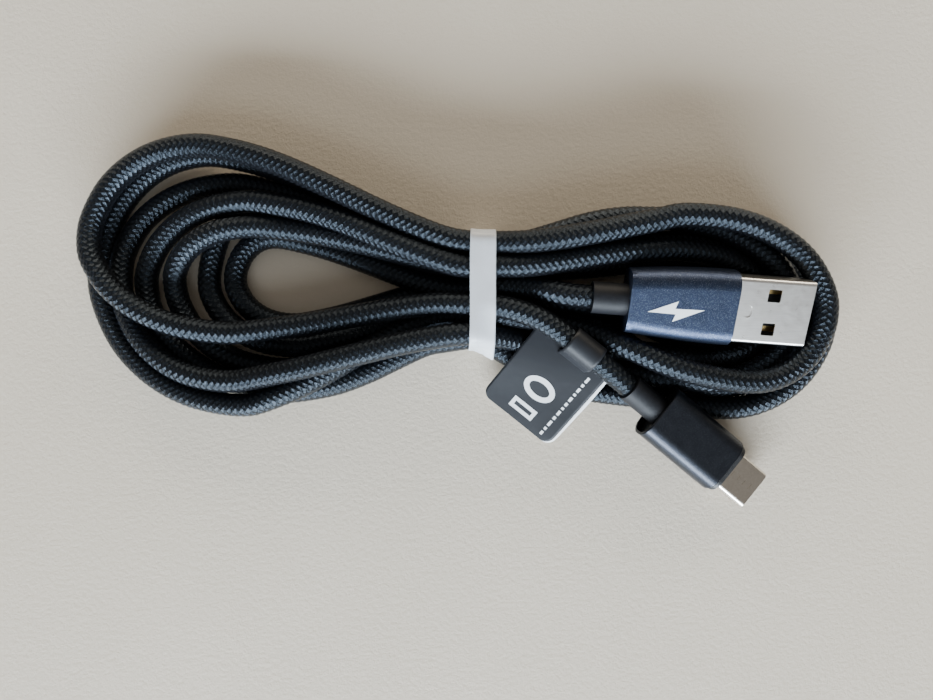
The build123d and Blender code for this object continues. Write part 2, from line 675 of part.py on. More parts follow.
with BuildPart() as usb_c_inner_mould:
    with BuildSketch(usb_c.offset(C_HOUSING_START + C_REAR_RECESS)):
        RectangleRounded(c_cavity_width - 2 * FIT, c_cavity_height - 2 * FIT, c_cavity_radius - FIT)
    extrude(amount=C_HOUSING_LENGTH - C_REAR_RECESS - C_SPIGOT_LENGTH - FIT)
    with BuildSketch(usb_c):
        Circle(C_RELIEF_D / 2 + FIT)
    extrude(amount=C_RELIEF_LENGTH + FIT, mode=Mode.SUBTRACT)
    with BuildSketch(usb_c):
        Circle(JACKET_D / 2 + CRIMP_WALL + FIT)
    extrude(amount=c_jacket_stop, mode=Mode.SUBTRACT)
    with BuildSketch(usb_c.offset(C_BOARD_START - FIT)):
        Rectangle(C_BOARD_WIDTH + 2 * FIT, C_BOARD_THICKNESS)
    extrude(amount=C_SHELL_START - C_BOARD_START + FIT, mode=Mode.SUBTRACT)
    with BuildSketch(usb_c.offset(C_SHELL_START)):
        RectangleRounded(C_SHELL_WIDTH + 2 * FIT, C_SHELL_HEIGHT + 2 * FIT, C_SHELL_RADIUS + FIT)
    extrude(amount=c_shell_end - C_SHELL_START, mode=Mode.SUBTRACT)
    for piece in [usb_c_resistor] + c_rows + usb_c_cores:
        add(piece.part, mode=Mode.SUBTRACT)
save(usb_c_inner_mould, "usb_c_inner_mould")
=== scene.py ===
import json
import math

import bpy
import numpy as np
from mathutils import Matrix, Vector


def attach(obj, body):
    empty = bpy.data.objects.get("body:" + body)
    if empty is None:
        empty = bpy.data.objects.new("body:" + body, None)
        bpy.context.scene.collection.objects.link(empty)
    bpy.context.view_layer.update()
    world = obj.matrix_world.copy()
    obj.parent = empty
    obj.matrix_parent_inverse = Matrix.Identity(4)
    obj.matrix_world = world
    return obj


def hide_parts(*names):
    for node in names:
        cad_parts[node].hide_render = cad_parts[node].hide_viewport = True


# A braided charging cable wound into a flat hank. The CAD gives the plugs. This scene adds the
# braided cord, the film band, the flag label and the mark on the wide plug.
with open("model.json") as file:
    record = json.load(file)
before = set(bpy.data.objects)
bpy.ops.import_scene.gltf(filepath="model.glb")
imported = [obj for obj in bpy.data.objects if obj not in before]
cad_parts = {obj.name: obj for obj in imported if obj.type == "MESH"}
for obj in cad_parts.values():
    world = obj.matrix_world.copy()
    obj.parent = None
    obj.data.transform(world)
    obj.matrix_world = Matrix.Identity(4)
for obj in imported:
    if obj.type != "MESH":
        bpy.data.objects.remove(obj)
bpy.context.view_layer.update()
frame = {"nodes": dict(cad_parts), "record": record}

MM = 0.001


# ---------------------------------------------------------------- node helpers
SHADER_SOCKETS = {
    "colour": "Base Color",
    "roughness": "Roughness",
    "metallic": "Metallic",
    "specular": "Specular IOR Level",
    "specular_tint": "Specular Tint",
    "sheen": "Sheen Weight",
    "sheen_roughness": "Sheen Roughness",
    "sheen_tint": "Sheen Tint",
}


class Nodes:
    """A material's node tree, with short calls that make and join its nodes."""

    def __init__(self, name):
        self.material = bpy.data.materials.new(name)
        self.material.use_nodes = True
        self.tree = self.material.node_tree
        self.shader = self.tree.nodes["Principled BSDF"]

    def new(self, kind, **settings):
        node = self.tree.nodes.new("ShaderNode" + kind)
        for key, value in settings.items():
            setattr(node, key, value)
        return node

    def put(self, node, socket, value):
        if isinstance(value, bpy.types.NodeSocket):
            self.tree.links.new(value, node.inputs[socket])
        else:
            node.inputs[socket].default_value = value

    def math(self, operation, a, b=None, c=None):
        node = self.new("Math", operation=operation)
        for index, value in enumerate((a, b, c)):
            if value is not None:
                self.put(node, index, value)
        return node.outputs[0]

    def blend(self, amount, a, b):
        node = self.new("Mix", data_type="RGBA")
        self.put(node, "Factor", amount)
        self.put(node, 6, a)
        self.put(node, 7, b)
        return node.outputs[2]

    def scaled(self, vector, scale):
        mapping = self.new("Mapping")
        self.put(mapping, "Vector", vector)
        self.put(mapping, "Scale", scale)
        return mapping.outputs["Vector"]

    def place(self):
        """Object coordinates in millimetres."""
        return self.scaled(self.new("TexCoord").outputs["Object"], (1 / MM,) * 3)

    def noise(self, scale, detail=4.0, roughness=0.6, stretch=None):
        vector = self.place()
        if stretch:
            vector = self.scaled(vector, stretch)
        node = self.new("TexNoise")
        self.put(node, "Vector", vector)
        self.put(node, "Scale", scale)
        self.put(node, "Detail", detail)
        self.put(node, "Roughness", roughness)
        return node.outputs["Fac"]

    def ramp(self, value, stops):
        node = self.new("ValToRGB")
        self.put(node, "Fac", value)
        elements = node.color_ramp.elements
        while len(elements) < len(stops):
            elements.new(0.5)
        for element, (at, colour) in zip(elements, stops):
            element.position = at
            element.color = (*colour, 1)
        return node.outputs["Color"]

    def bump(self, height, distance):
        """Bump by a height from 0 to 1 times a distance in millimetres, over any bump before it."""
        node = self.new("Bump")
        self.put(node, "Height", height)
        self.put(node, "Distance", distance * MM)
        normal = self.shader.inputs["Normal"]
        if normal.links:
            self.put(node, "Normal", normal.links[0].from_socket)
        self.tree.links.new(node.outputs["Normal"], normal)

    def set(self, **values):
        for key, value in values.items():
            if isinstance(value, tuple) and len(value) == 3:
                value = (*value, 1)
            self.put(self.shader, SHADER_SOCKETS[key], value)


# ---------------------------------------------------------------- the cord's route
# The lengths here are in millimetres, and become metres where the spline is made.
CORD_D = 4.3
CORD_R = CORD_D / 2

# The two leads, which repeat the route of the CAD's tubes
USB_A_LEAD = (
    (25.2, 4.5, 10.5),
    (21.709, 4.756, 10.5),
    (18.2, 5.5, 9.8),
    (14.9, 6.3, 8.45),
    (11.6, 6.75, 7.85),
    (8.3, 6.75, 7.85),
)
USB_C_LEAD = (
    (8.3, 2.9, 10.0),
    (11.5, 2.2, 10.2),
    (17.3, 0.1, 10.25),
    (27.527, -8.002, 10.09),
    (32.5, -12.0, 8.85),
)

# Places of the strands in the band as (y, z), in the cord's order: those that run left, and those
# that run right
UP_SLOTS = (
    (6.7, 7.0), (10.0, 2.5), (8.3, 5.6), (10.1, 9.9), (14.3, 2.5), (12.3, 6.2), (14.2, 9.9),
)
DOWN_SLOTS = (
    (5.7, 2.5), (1.35, 2.5), (-3.0, 2.5), (-2.6, 6.0), (-1.8, 9.6), (2.2, 6.2), (3.4, 9.9),
)
BAND_LEFT, BAND_RIGHT = 2.2, 8.6
LEFT_FAN_START, RIGHT_FAN_START = -3.0, 13.0

# Each left loop in plan, in the cord's order: its uppermost point, its far end and its lowest point
LEFT_LOOPS = (
    ((-34.0, 17.5), (-42.1, 8.6), (-30.9, -0.8)),
    ((-39.5, 22.6), (-47.2, 8.4), (-30.0, -5.6)),
    ((-38.0, 17.8), (-53.2, 7.1), (-35.0, -8.8)),
    ((-39.2, 22.0), (-60.2, 5.5), (-33.5, -12.0)),
    ((-43.8, 26.6), (-64.2, 10.0), (-43.0, -11.0)),
    ((-48.6, 31.8), (-66.8, 12.4), (-39.0, -14.4)),
    ((-49.0, 32.6), (-68.0, 15.6), (-43.0, -1.8)),
)
# The right loops run the other way round: lowest point, far end, uppermost point
RIGHT_LOOPS = (
    ((49.0, -14.0), (67.4, 0.8), (47.0, 16.8)),
    ((44.0, -5.4), (58.0, 3.6), (43.0, 13.8)),
    ((47.5, -7.8), (61.5, 3.2), (42.0, 14.6)),
    ((49.0, -18.6), (68.2, 0.4), (43.0, 15.0)),
    ((50.0, -11.0), (64.2, 1.0), (42.0, 17.4)),
    ((55.0, -10.6), (66.4, -0.6), (41.0, 18.2)),
)
# Where across the hank each loop's first half leaves the band, and how late it swings out from
# there, from 0 at once to 1 near its uppermost or lowest point
LEFT_STARTS = (8.7, 11.4, 9.6, 12.0, 14.3, 13.2, 14.4)
LEFT_SWINGS = (0.0, 0.1, 0.0, 0.25, 0.5, 0.5, 0.5)
RIGHT_STARTS = (5.7, 1.35, -3.0, -4.8, -1.8, 2.2)
RIGHT_SWINGS = (0.5, 0.5, 0.5, 0.0, 0.5, 0.5)
LATE_SWING = 0.5
# How many steps up the pile each loop's halves lie
LEFT_UPPER = (0, 0, 4, 5, 2, 3, 6.5)
LEFT_LOWER = (0, 0, 1, 2, 4, 4.5, 7)
RIGHT_LOWER = (0, 1, 2, 2, 4, 5.5)
RIGHT_UPPER = (0, 0, 6, 3, 3.5, 6.5)
PILE_STEP = 1.1

# Control points stand this much further out than the arc that they draw
ARC_SWELL = 1.03
FAN_SHARES = (0.0, 0.22, 0.45, 0.66, 0.84)
TURN_ANGLES = (0, 26, 52, 76)
# Shares of a loop's points, from either end: its height leaves the band's by the first, and from
# the second it blends into the height of its far end
CLIMB_SHARE = 0.2
ROUND_SHARE = 0.25


def fan(start, side, swing=LATE_SWING):
    """Plan points from the band out to a loop's uppermost or lowest point."""
    points = []
    for t in FAN_SHARES:
        rise = swing * t * t * (3 - 2 * t) + (1 - swing) * math.sin(math.pi * t / 2)
        points.append((start[0] + (side[0] - start[0]) * t, start[1] + (side[1] - start[1]) * rise))
    return points


def turn(side, end):
    """Plan points round a quarter loop, from its uppermost or lowest point towards its far end."""
    angles = [math.radians(a) for a in TURN_ANGLES]
    return [
        (
            side[0] + (end[0] - side[0]) * ARC_SWELL * math.sin(a),
            end[1] + (side[1] - end[1]) * ARC_SWELL * math.cos(a),
        )
        for a in angles
    ]


def loop(start_x, slot_in, shape, slot_out, pile_in, pile_out, start_y, swing):
    """Control points round one loop, its heights from the band slots and the order of the pile."""
    first, end, last = shape
    middle_x = (first[0] + last[0]) / 2
    plan = fan((start_x, start_y), first, swing) + turn(first, end)
    plan += [(middle_x + (end[0] - middle_x) * ARC_SWELL, end[1])]
    plan += turn(last, end)[::-1] + fan((start_x, slot_out[0]), last)[::-1]
    end_height = CORD_R + PILE_STEP * (pile_in + pile_out) / 2
    heights = []
    for i in range(len(plan)):
        t = i / (len(plan) - 1)
        near = min(t, 1 - t)
        slot_z, pile = (slot_in[1], pile_in) if t < 0.5 else (slot_out[1], pile_out)
        out = min(1, near / CLIMB_SHARE)
        height = slot_z * (1 - out) + (CORD_R + PILE_STEP * pile) * out
        round_end = max(0, (near - ROUND_SHARE) / ROUND_SHARE)
        heights.append(height * (1 - round_end) + end_height * round_end)
    return [(x, y, z) for (x, y), z in zip(plan, heights)]


def first_route():
    """The whole cord's control points before the strands settle on each other."""
    points = list(USB_A_LEAD)
    for k, shape in enumerate(LEFT_LOOPS):
        up, down = UP_SLOTS[k], DOWN_SLOTS[k]
        if k:
            points.append((BAND_RIGHT, *up))
        points.append((BAND_LEFT, *up))
        levels = LEFT_UPPER[k], LEFT_LOWER[k]
        starts = LEFT_STARTS[k], LEFT_SWINGS[k]
        points += loop(LEFT_FAN_START, up, shape, down, *levels, *starts)
        points.append((BAND_LEFT, *down))
        if k < len(RIGHT_LOOPS):
            points.append((BAND_RIGHT, *down))
            following = UP_SLOTS[k + 1]
            levels = RIGHT_LOWER[k], RIGHT_UPPER[k]
            starts = RIGHT_STARTS[k], RIGHT_SWINGS[k]
            points += loop(RIGHT_FAN_START, down, RIGHT_LOOPS[k], following, *levels, *starts)
    return np.array(points + list(USB_C_LEAD))


# ---------------------------------------------------------------- what the strands settle round
def plug_axes(heading, pitch, roll=0.0):
    """Unit vectors along a plug, to its left and up from it, from angles in degrees."""
    h, p, r = math.radians(heading), math.radians(pitch), math.radians(roll)
    along = np.array([math.cos(h) * math.cos(p), math.sin(h) * math.cos(p), -math.sin(p)])
    level = np.array([-math.sin(h), math.cos(h), 0.0])
    top = np.cross(along, level)
    left = level * math.cos(r) + top * math.sin(r)
    return along, left, top * math.cos(r) - level * math.sin(r)


def flag_axes():
    """Unit vectors from the lead out along the hanging flag, and up from its face."""
    level = np.array([SLEEVE_ALONG[1], -SLEEVE_ALONG[0], 0.0])
    level /= np.linalg.norm(level)
    out = level * math.cos(DROOP) - np.cross(SLEEVE_ALONG, -level) * math.sin(DROOP)
    return out, np.cross(out, SLEEVE_ALONG)


USB_A_AT = np.array(USB_A_LEAD[0])
USB_C_AT = np.array(USB_C_LEAD[-1])
A_ALONG, A_LEFT, A_UP = plug_axes(-4.2, 0.0, 18.0)
C_ALONG, C_LEFT, _ = plug_axes(-38.8, 11.0)

# The label's sleeve: its middle on the lead, its direction and its size
SLEEVE_AT = np.array([23.884, -5.116, 10.147])
SLEEVE_ALONG = np.array([0.783792, -0.620903, -0.012242])
SLEEVE_HALF, SLEEVE_R = 3.2, 2.7
DROOP = math.radians(17)
FLAG_OUT, FLAG_UP = flag_axes()

# The plugs as round rods side by side: start and stop along the plug, radius, and the rods' places
# across it. The rows are the strain relief, the housing and the shell.
USB_A_RODS = (
    (0.0, 8.3, 2.9, (0,)),
    (6.3, 25.3, 4.0, (-2.8, 0, 2.8)),
    (24.0, 39.0, 2.25, (-3.75, -1.9, 0, 1.9, 3.75)),
)
USB_C_RODS = (
    (0.0, 8.6, 2.65, (0,)),
    (6.9, 24.5, 3.2, (-2.4, 0, 2.4)),
    (24.0, 32.7, 1.2, (-2.9, 0, 2.9)),
)
ROD_INSET = 0.6
ROD_CLEARANCE, SLEEVE_CLEARANCE, FLAG_CLEARANCE = 0.15, 0.1, 0.2


def rods():
    """Rods for the plugs and the label's sleeve: two ends, and how near a strand may come."""
    made = []
    for at, along, left, rows in (
        (USB_A_AT, A_ALONG, A_LEFT, USB_A_RODS),
        (USB_C_AT, C_ALONG, C_LEFT, USB_C_RODS),
    ):
        for start, stop, radius, offsets in rows:
            inset = radius * ROD_INSET
            for offset in offsets:
                first = at + along * (start + inset) + left * offset
                last = at + along * (stop - inset) + left * offset
                made.append((first, last, radius + CORD_R + ROD_CLEARANCE))
    reach = SLEEVE_ALONG * SLEEVE_HALF
    clear = SLEEVE_R + CORD_R + SLEEVE_CLEARANCE
    return made + [(SLEEVE_AT - reach, SLEEVE_AT + reach, clear)]


# ---------------------------------------------------------------- settling the strands
BAND_MIDDLE_X, BAND_HALF = 5.35, 3.6
BAND_Y_RANGE, BAND_Z_RANGE = (-3.05, 14.45), (2.55, 9.98)
# The room under the flag, out from the lead and along it
FLAG_ZONE_OUT, FLAG_ZONE_ALONG = (1, 22), (-11, 9)

SAMPLES_PER_SPAN = 5
SETTLE_STEPS = 400
# Touching pairs are looked for again after so many steps, with a margin for what moves meanwhile
PAIR_SEARCH_EVERY, PAIR_MARGIN = 10, 1.5
# Samples nearer to each other along the cord than this are the same strand
NEIGHBOUR_LENGTH = 2 * CORD_D
# A sample that touches n others moves by the sum of their pushes over n to this power
CROWDING = 0.6
# How strongly a strand that meets a plug is turned downwards
DOWNWARD = 0.3
DAMPING, OVERSHOOT = 0.05, 1.5
# What the strands sink by in each step, and the share of it that is gone by the last one
SINK_STEP, SINK_FADE = 0.02, 0.7
# Smoothing in plan and in height, and how much it grows over the last share of the steps
SMOOTH_LEVEL, SMOOTH_UP = 0.03, 0.02
FIRM_FROM, FIRM_SPAN, FIRM_GAIN = 0.7, 0.3, 3
# How strongly each strand is drawn back to its route in plan
ROUTE_PULL = 0.007


def basis_of(count):
    """Weights of the control points in each sample of a quadratic spline with clamped ends."""
    knots = np.concatenate([[0, 0, 0], np.arange(1, count - 2), [count - 2] * 3]).astype(float)
    places = np.linspace(0, count - 2, (count - 2) * SAMPLES_PER_SPAN + 1)
    places[-1] -= 1e-9
    weights = np.zeros((len(places), count))
    for i, t in enumerate(places):
        s = int(t) + 2
        shares = [1.0]
        for degree in (1, 2):
            grown = [0.0] * (degree + 1)
            for r in range(degree):
                low, high = knots[s - degree + 1 + r], knots[s + 1 + r]
                share = shares[r] / (high - low)
                grown[r] += (high - t) * share
                grown[r + 1] += (t - low) * share
            shares = grown
        weights[i, s - 2 : s + 1] = shares
    return weights


def near_pairs(samples, arc):
    """Samples that lie close together but far apart along the cord."""
    square = (samples**2).sum(1)
    apart = square[:, None] + square[None, :] - 2 * samples @ samples.T
    one, two = np.where(apart < (CORD_D + PAIR_MARGIN) ** 2)
    real = (one < two) & (np.abs(arc[one] - arc[two]) > NEIGHBOUR_LENGTH)
    return one[real], two[real]


def part_strands(samples, one, two, still):
    """Moves that take strands out of each other, and how many strands each sample touches."""
    away = samples[one] - samples[two]
    gap = np.linalg.norm(away, axis=1)
    touching = gap < CORD_D
    i, j = one[touching], two[touching]
    push = away[touching] / np.maximum(gap[touching], 1e-6)[:, None]
    push *= ((CORD_D - gap[touching]) / 2)[:, None]
    moves, touched = np.zeros_like(samples), np.zeros(len(samples))
    np.add.at(moves, i, push * np.where(still[j], 2.0, 1.0)[:, None])
    np.add.at(moves, j, -push * np.where(still[i], 2.0, 1.0)[:, None])
    np.add.at(touched, i, 1)
    np.add.at(touched, j, 1)
    moves /= np.maximum(touched, 1)[:, None] ** CROWDING
    return moves, touched


def hold_in(samples, moves, touched):
    """Add the moves that keep the strands above the floor and within the band."""
    sunk = np.maximum(CORD_R - samples[:, 2], 0)
    moves[:, 2] += sunk
    touched += sunk > 0
    banded = np.abs(samples[:, 0] - BAND_MIDDLE_X) < BAND_HALF
    for k, limits in ((1, BAND_Y_RANGE), (2, BAND_Z_RANGE)):
        back = np.where(banded, np.clip(samples[:, k], *limits) - samples[:, k], 0)
        moves[:, k] += back
        touched += back != 0


def hold_off(samples, obstacles, still, moves, touched):
    """Add the moves that keep the strands out of the plugs and the sleeve, rather down than up."""
    for start, stop, clear in obstacles:
        line = stop - start
        t = np.clip((samples - start) @ line / (line @ line), 0, 1)
        off = samples - start - t[:, None] * line
        far = np.linalg.norm(off, axis=1)
        hit = (far < clear) & ~still
        off[:, 2] -= DOWNWARD * far
        off /= np.linalg.norm(off, axis=1)[:, None]
        moves[hit] += off[hit] * (clear - far[hit])[:, None]
        touched += hit


def hold_under_flag(samples, still, moves, touched):
    """Add the moves that keep the strands below the flag."""
    offset = samples - SLEEVE_AT
    along, out = offset @ SLEEVE_ALONG, offset @ FLAG_OUT
    over = offset @ FLAG_UP + SLEEVE_R + CORD_R + FLAG_CLEARANCE
    inside = (along > FLAG_ZONE_ALONG[0]) & (along < FLAG_ZONE_ALONG[1])
    inside &= (out > FLAG_ZONE_OUT[0]) & (out < FLAG_ZONE_OUT[1])
    high = inside & (over > 0) & ~still
    moves[high, 2] -= over[high]
    touched += high


def settle(route):
    """Let the strands sink and push each other apart, with the leads held still."""
    held = np.zeros(len(route), bool)
    held[: len(USB_A_LEAD)] = held[-len(USB_C_LEAD) :] = True
    basis = basis_of(len(route))
    weight = basis.sum(0)
    still = basis @ held.astype(float) > 0.5
    steps = np.linalg.norm(np.diff(basis @ route, axis=0), axis=1)
    arc = np.concatenate([[0], np.cumsum(steps)])
    obstacles = rods()
    points = route.copy()
    for step in range(SETTLE_STEPS):
        samples = basis @ points
        if step % PAIR_SEARCH_EVERY == 0:
            one, two = near_pairs(samples, arc)
        moves, touched = part_strands(samples, one, two, still)
        hold_in(samples, moves, touched)
        hold_off(samples, obstacles, still, moves, touched)
        hold_under_flag(samples, still, moves, touched)
        shift = basis.T @ moves / (basis.T @ (touched > 0) + DAMPING * weight)[:, None]
        shift[held] = 0
        points += shift * OVERSHOOT
        points[~held, 2] -= SINK_STEP * (1 - SINK_FADE * step / SETTLE_STEPS)
        bend = points - route
        bend[:, 2] = points[:, 2]
        smoother = np.zeros_like(bend)
        smoother[1:-1] = (bend[:-2] + bend[2:]) / 2 - bend[1:-1]
        firm = 1 + FIRM_GAIN * max(0, step / SETTLE_STEPS - FIRM_FROM) / FIRM_SPAN
        shares = (SMOOTH_LEVEL * firm, SMOOTH_LEVEL * firm, SMOOTH_UP * firm)
        points[~held] += smoother[~held] * shares
        points[~held, :2] += ROUTE_PULL * (route[~held, :2] - points[~held, :2])
        points[~held, 2] = np.maximum(points[~held, 2], CORD_R)
    return points


# ---------------------------------------------------------------- the braid
SPLINE_RESOLUTION = 20
COINCIDENT = 0.02 * MM

BRAID_PERIOD = 1.18 * MM
BRAID_CELLS = 9
RINGS_PER_PERIOD = 3
BRAID_RELIEF = 0.15 * MM
RELIEF_INSIDE = 0.62
# A yarn's height at its ends, and how much it rises to its middle
YARN_LOW, YARN_CROWN = 0.55, 0.45


def link(obj):
    bpy.context.scene.collection.objects.link(obj)
    return obj


def make_mesh(name, points, faces, material, smooth=True):
    mesh = bpy.data.meshes.new(name)
    mesh.from_pydata([tuple(p) for p in points], [], faces)
    mesh.materials.append(material)
    if smooth:
        mesh.shade_smooth()
    mesh.update()
    return link(bpy.data.objects.new(name, mesh))


def spline_line(points):
    """The line of a NURBS spline on these control points, in metres, without repeated points."""
    curve = bpy.data.curves.new("cord_route", "CURVE")
    curve.dimensions = "3D"
    curve.resolution_u = SPLINE_RESOLUTION
    spline = curve.splines.new("NURBS")
    spline.points.add(len(points) - 1)
    for place, point in zip(points, spline.points):
        point.co = (*(place * MM), 1)
    spline.order_u = 3
    spline.use_endpoint_u = True
    route = bpy.data.objects.new("cord_route", curve)
    mesh = bpy.data.meshes.new_from_object(route)
    line = np.array([v.co for v in mesh.vertices])
    fresh = np.linalg.norm(np.diff(line, axis=0), axis=1) > COINCIDENT
    bpy.data.meshes.remove(mesh)
    bpy.data.objects.remove(route)
    bpy.data.curves.remove(curve)
    return line[np.concatenate([[True], fresh])]


def braid_height(u, v):
    """Height of the interlaced yarns from 0 to 1, at u periods along and v cells round."""
    a, b = u + v, u - v
    fa, fb = a - np.floor(a), b - np.floor(b)
    over = (np.floor(a) + np.floor(b)) % 2
    across, along = fb + over * (fa - fb), fa + over * (fb - fa)
    return np.sin(np.pi * across) * (YARN_LOW + YARN_CROWN * np.sin(np.pi * along))


def tube_frames(middle):
    """Unit vectors to the side and to the top of each point of a line, without twist."""
    tangent = np.gradient(middle, axis=0)
    tangent /= np.linalg.norm(tangent, axis=1)[:, None]
    side = np.cross(tangent[0], (0, 0, 1))
    sides = np.zeros_like(middle)
    for i in range(len(middle)):
        side = side - tangent[i] * (side @ tangent[i])
        side /= np.linalg.norm(side)
        sides[i] = side
    return sides, np.cross(sides, tangent)


def braid_uvs(mesh, u, v):
    """UVs that count the yarns along and round the tube, for its material to weave from."""
    low = np.stack(np.broadcast_arrays(u[:-1, None], v[None, :]), axis=-1)
    high = np.stack(np.broadcast_arrays(u[1:, None], v[None, :]), axis=-1)
    onward = (0, v[1] - v[0])
    corners = np.stack([low, low + onward, high + onward, high], axis=2).reshape(-1, 2)
    caps = np.zeros((2 * len(v), 2))
    caps[:, 1] = np.concatenate([v[::-1], v])
    layer = mesh.uv_layers.new(name="braid")
    layer.data.foreach_set("uv", np.concatenate([corners, caps]).astype(np.float32).ravel())


def braided_tube(name, line, material):
    """A closed tube of woven yarns along a line."""
    steps = np.linalg.norm(np.diff(line, axis=0), axis=1)
    arc = np.concatenate([[0], np.cumsum(steps)])
    rings = int(arc[-1] / BRAID_PERIOD * RINGS_PER_PERIOD)
    at = np.linspace(0, arc[-1], rings)
    middle = np.stack([np.interp(at, arc, line[:, k]) for k in range(3)], axis=1)
    sides, tops = tube_frames(middle)
    around = 2 * BRAID_CELLS
    u = at / BRAID_PERIOD
    v = np.arange(around) / 2
    angle = v / BRAID_CELLS * 2 * np.pi
    height = braid_height(u[:, None], v[None, :])
    radius = CORD_R * MM - RELIEF_INSIDE * BRAID_RELIEF + BRAID_RELIEF * height
    across, up = np.cos(angle)[None, :, None], np.sin(angle)[None, :, None]
    ring = across * sides[:, None, :] + up * tops[:, None, :]
    points = middle[:, None, :] + ring * radius[:, :, None]
    index = np.arange(rings * around).reshape(rings, around)
    after = np.roll(index, -1, axis=1)
    quads = np.stack([index[:-1], after[:-1], after[1:], index[1:]], axis=-1).reshape(-1, 4)
    ends = [tuple(index[0][::-1]), tuple(index[-1])]
    cord = make_mesh(name, points.reshape(-1, 3), quads.tolist() + ends, material)
    braid_uvs(cord.data, u, v)
    return cord


# ---------------------------------------------------------------- materials
def around_tone(colour, tint):
    """A colour made darker and lighter by a share."""
    return tuple(c * (1 - tint) for c in colour), tuple(min(1, c * (1 + tint)) for c in colour)


def braided_nylon():
    """Black nylon yarns of fine threads, woven over and under each other, with a blue shine.
    Painted shade darkens the valleys between the yarns.
    """
    m = Nodes("braided_nylon")
    split = m.new("SeparateXYZ")
    m.put(split, "Vector", m.new("UVMap", uv_map="braid").outputs["UV"])
    u, v = split.outputs["X"], split.outputs["Y"]
    a, b = m.math("ADD", u, v), m.math("SUBTRACT", u, v)
    fa, fb = m.math("FRACT", a), m.math("FRACT", b)
    parity = m.math("ADD", m.math("FLOOR", a), m.math("FLOOR", b))
    over = m.math("FLOORED_MODULO", parity, 2.0)
    gap = m.math("SUBTRACT", fa, fb)
    across = m.math("ADD", fb, m.math("MULTIPLY", over, gap))
    along = m.math("SUBTRACT", fa, m.math("MULTIPLY", over, gap))
    ridge = m.math("SINE", m.math("MULTIPLY", across, math.pi))
    crown = m.math("SINE", m.math("MULTIPLY", along, math.pi))
    woven = m.math("MULTIPLY", ridge, m.math("MULTIPLY_ADD", crown, YARN_CROWN, YARN_LOW))
    threads = m.math("SINE", m.math("MULTIPLY", across, 10 * math.pi))
    fuzz = m.noise(9.0, 5.0)
    tone = m.noise(0.35, 3.0)
    height = m.math("MULTIPLY_ADD", threads, 0.08, woven)
    height = m.math("MULTIPLY_ADD", fuzz, 0.14, height)
    # The colour runs from nearly black in the valleys between the yarns to a little lighter on
    # their crests: painted shade between the yarns.
    stops = (
        (0.0, (0.0010, 0.0011, 0.0013)),
        (0.45, (0.0035, 0.0038, 0.0048)),
        (1.0, (0.0085, 0.0092, 0.0118)),
    )
    # Large patches of a warmer dark tone, blended over the painted valley shade.
    tone_and_valley_shade = m.blend(m.math("MULTIPLY", tone, 0.3), m.ramp(woven, stops), (0.006, 0.0058, 0.0055, 1))
    rough = m.math("MULTIPLY_ADD", fuzz, 0.12, 0.19)
    m.set(colour=tone_and_valley_shade, roughness=rough, specular=0.36, specular_tint=(0.66, 0.82, 1.0))
    m.set(sheen=0.02, sheen_roughness=0.4, sheen_tint=(0.55, 0.62, 0.80))
    m.bump(height, 0.15)
    return m.material


def plastic(name, colour, rough, grain=0.02, tint=0.25, specular=0.5):
    """Moulded plastic or insulation: fine grain, slight mottling and soft gloss changes."""
    m = Nodes(name)
    mottle, fine = m.noise(1.3, 4.0), m.noise(14.0, 3.0)
    darker, lighter = around_tone(colour, tint)
    m.set(colour=m.ramp(mottle, ((0.3, darker), (0.7, lighter))))
    m.set(roughness=m.math("MULTIPLY_ADD", fine, 0.16, rough - 0.08), specular=specular)
    m.bump(fine, grain)
    return m.material


def blasted_aluminium(name, colour, rough, grain, painted_glint_share):
    """Anodised aluminium with a blasted surface, and painted glints that brighten the colour of
    single grains.
    """
    m = Nodes(name)
    grains = m.new("TexVoronoi")
    m.put(grains, "Vector", m.place())
    m.put(grains, "Scale", 15.0)
    cell = m.new("SeparateColor")
    m.put(cell, "Color", grains.outputs["Color"])
    fine, broad = m.noise(7.0, 6.0, 0.7), m.noise(0.6, 2.0)
    # Painted glints: single grains made brighter and bluer in colour, standing in for light that
    # they catch.
    painted_glint = m.math("POWER", cell.outputs["Red"], 12.0)
    darker, lighter = around_tone(colour, 0.15)
    base = m.ramp(broad, ((0.25, darker), (0.75, lighter)))
    m.set(colour=m.blend(m.math("MULTIPLY", painted_glint, painted_glint_share), base, (0.55, 0.60, 0.72, 1)))
    rough = m.math("MULTIPLY_ADD", fine, 0.18, rough - 0.09)
    m.set(roughness=rough, metallic=0.85, specular=0.5)
    m.bump(m.math("ADD", fine, m.math("MULTIPLY", cell.outputs["Green"], 0.5)), grain)
    return m.material


def plated_metal(name, colour, rough, stretch, grain=0.004):
    """Rolled and plated sheet metal with faint drawn lines and handling marks."""
    m = Nodes(name)
    lines = m.noise(1.0, 5.0, 0.65, stretch)
    marks = m.noise(0.9, 3.0)
    darker = tuple(c * 0.88 for c in colour)
    m.set(colour=m.ramp(lines, ((0.3, darker), (0.7, colour))), metallic=1.0)
    m.set(roughness=m.math("MULTIPLY_ADD", marks, 0.14, rough - 0.07))
    m.bump(lines, grain)
    return m.material


def film(name, colour, rough, tint=0.12, grain=0.01, specular=0.5):
    """Printed plastic film with slight waviness."""
    m = Nodes(name)
    broad, fine = m.noise(0.28, 2.0), m.noise(10.0, 3.0)
    darker = around_tone(colour, tint)[0]
    m.set(colour=m.ramp(broad, ((0.3, darker), (0.7, colour))))
    m.set(roughness=m.math("MULTIPLY_ADD", fine, 0.12, rough - 0.06), specular=specular)
    m.bump(fine, grain)
    m.bump(broad, 0.05)
    return m.material


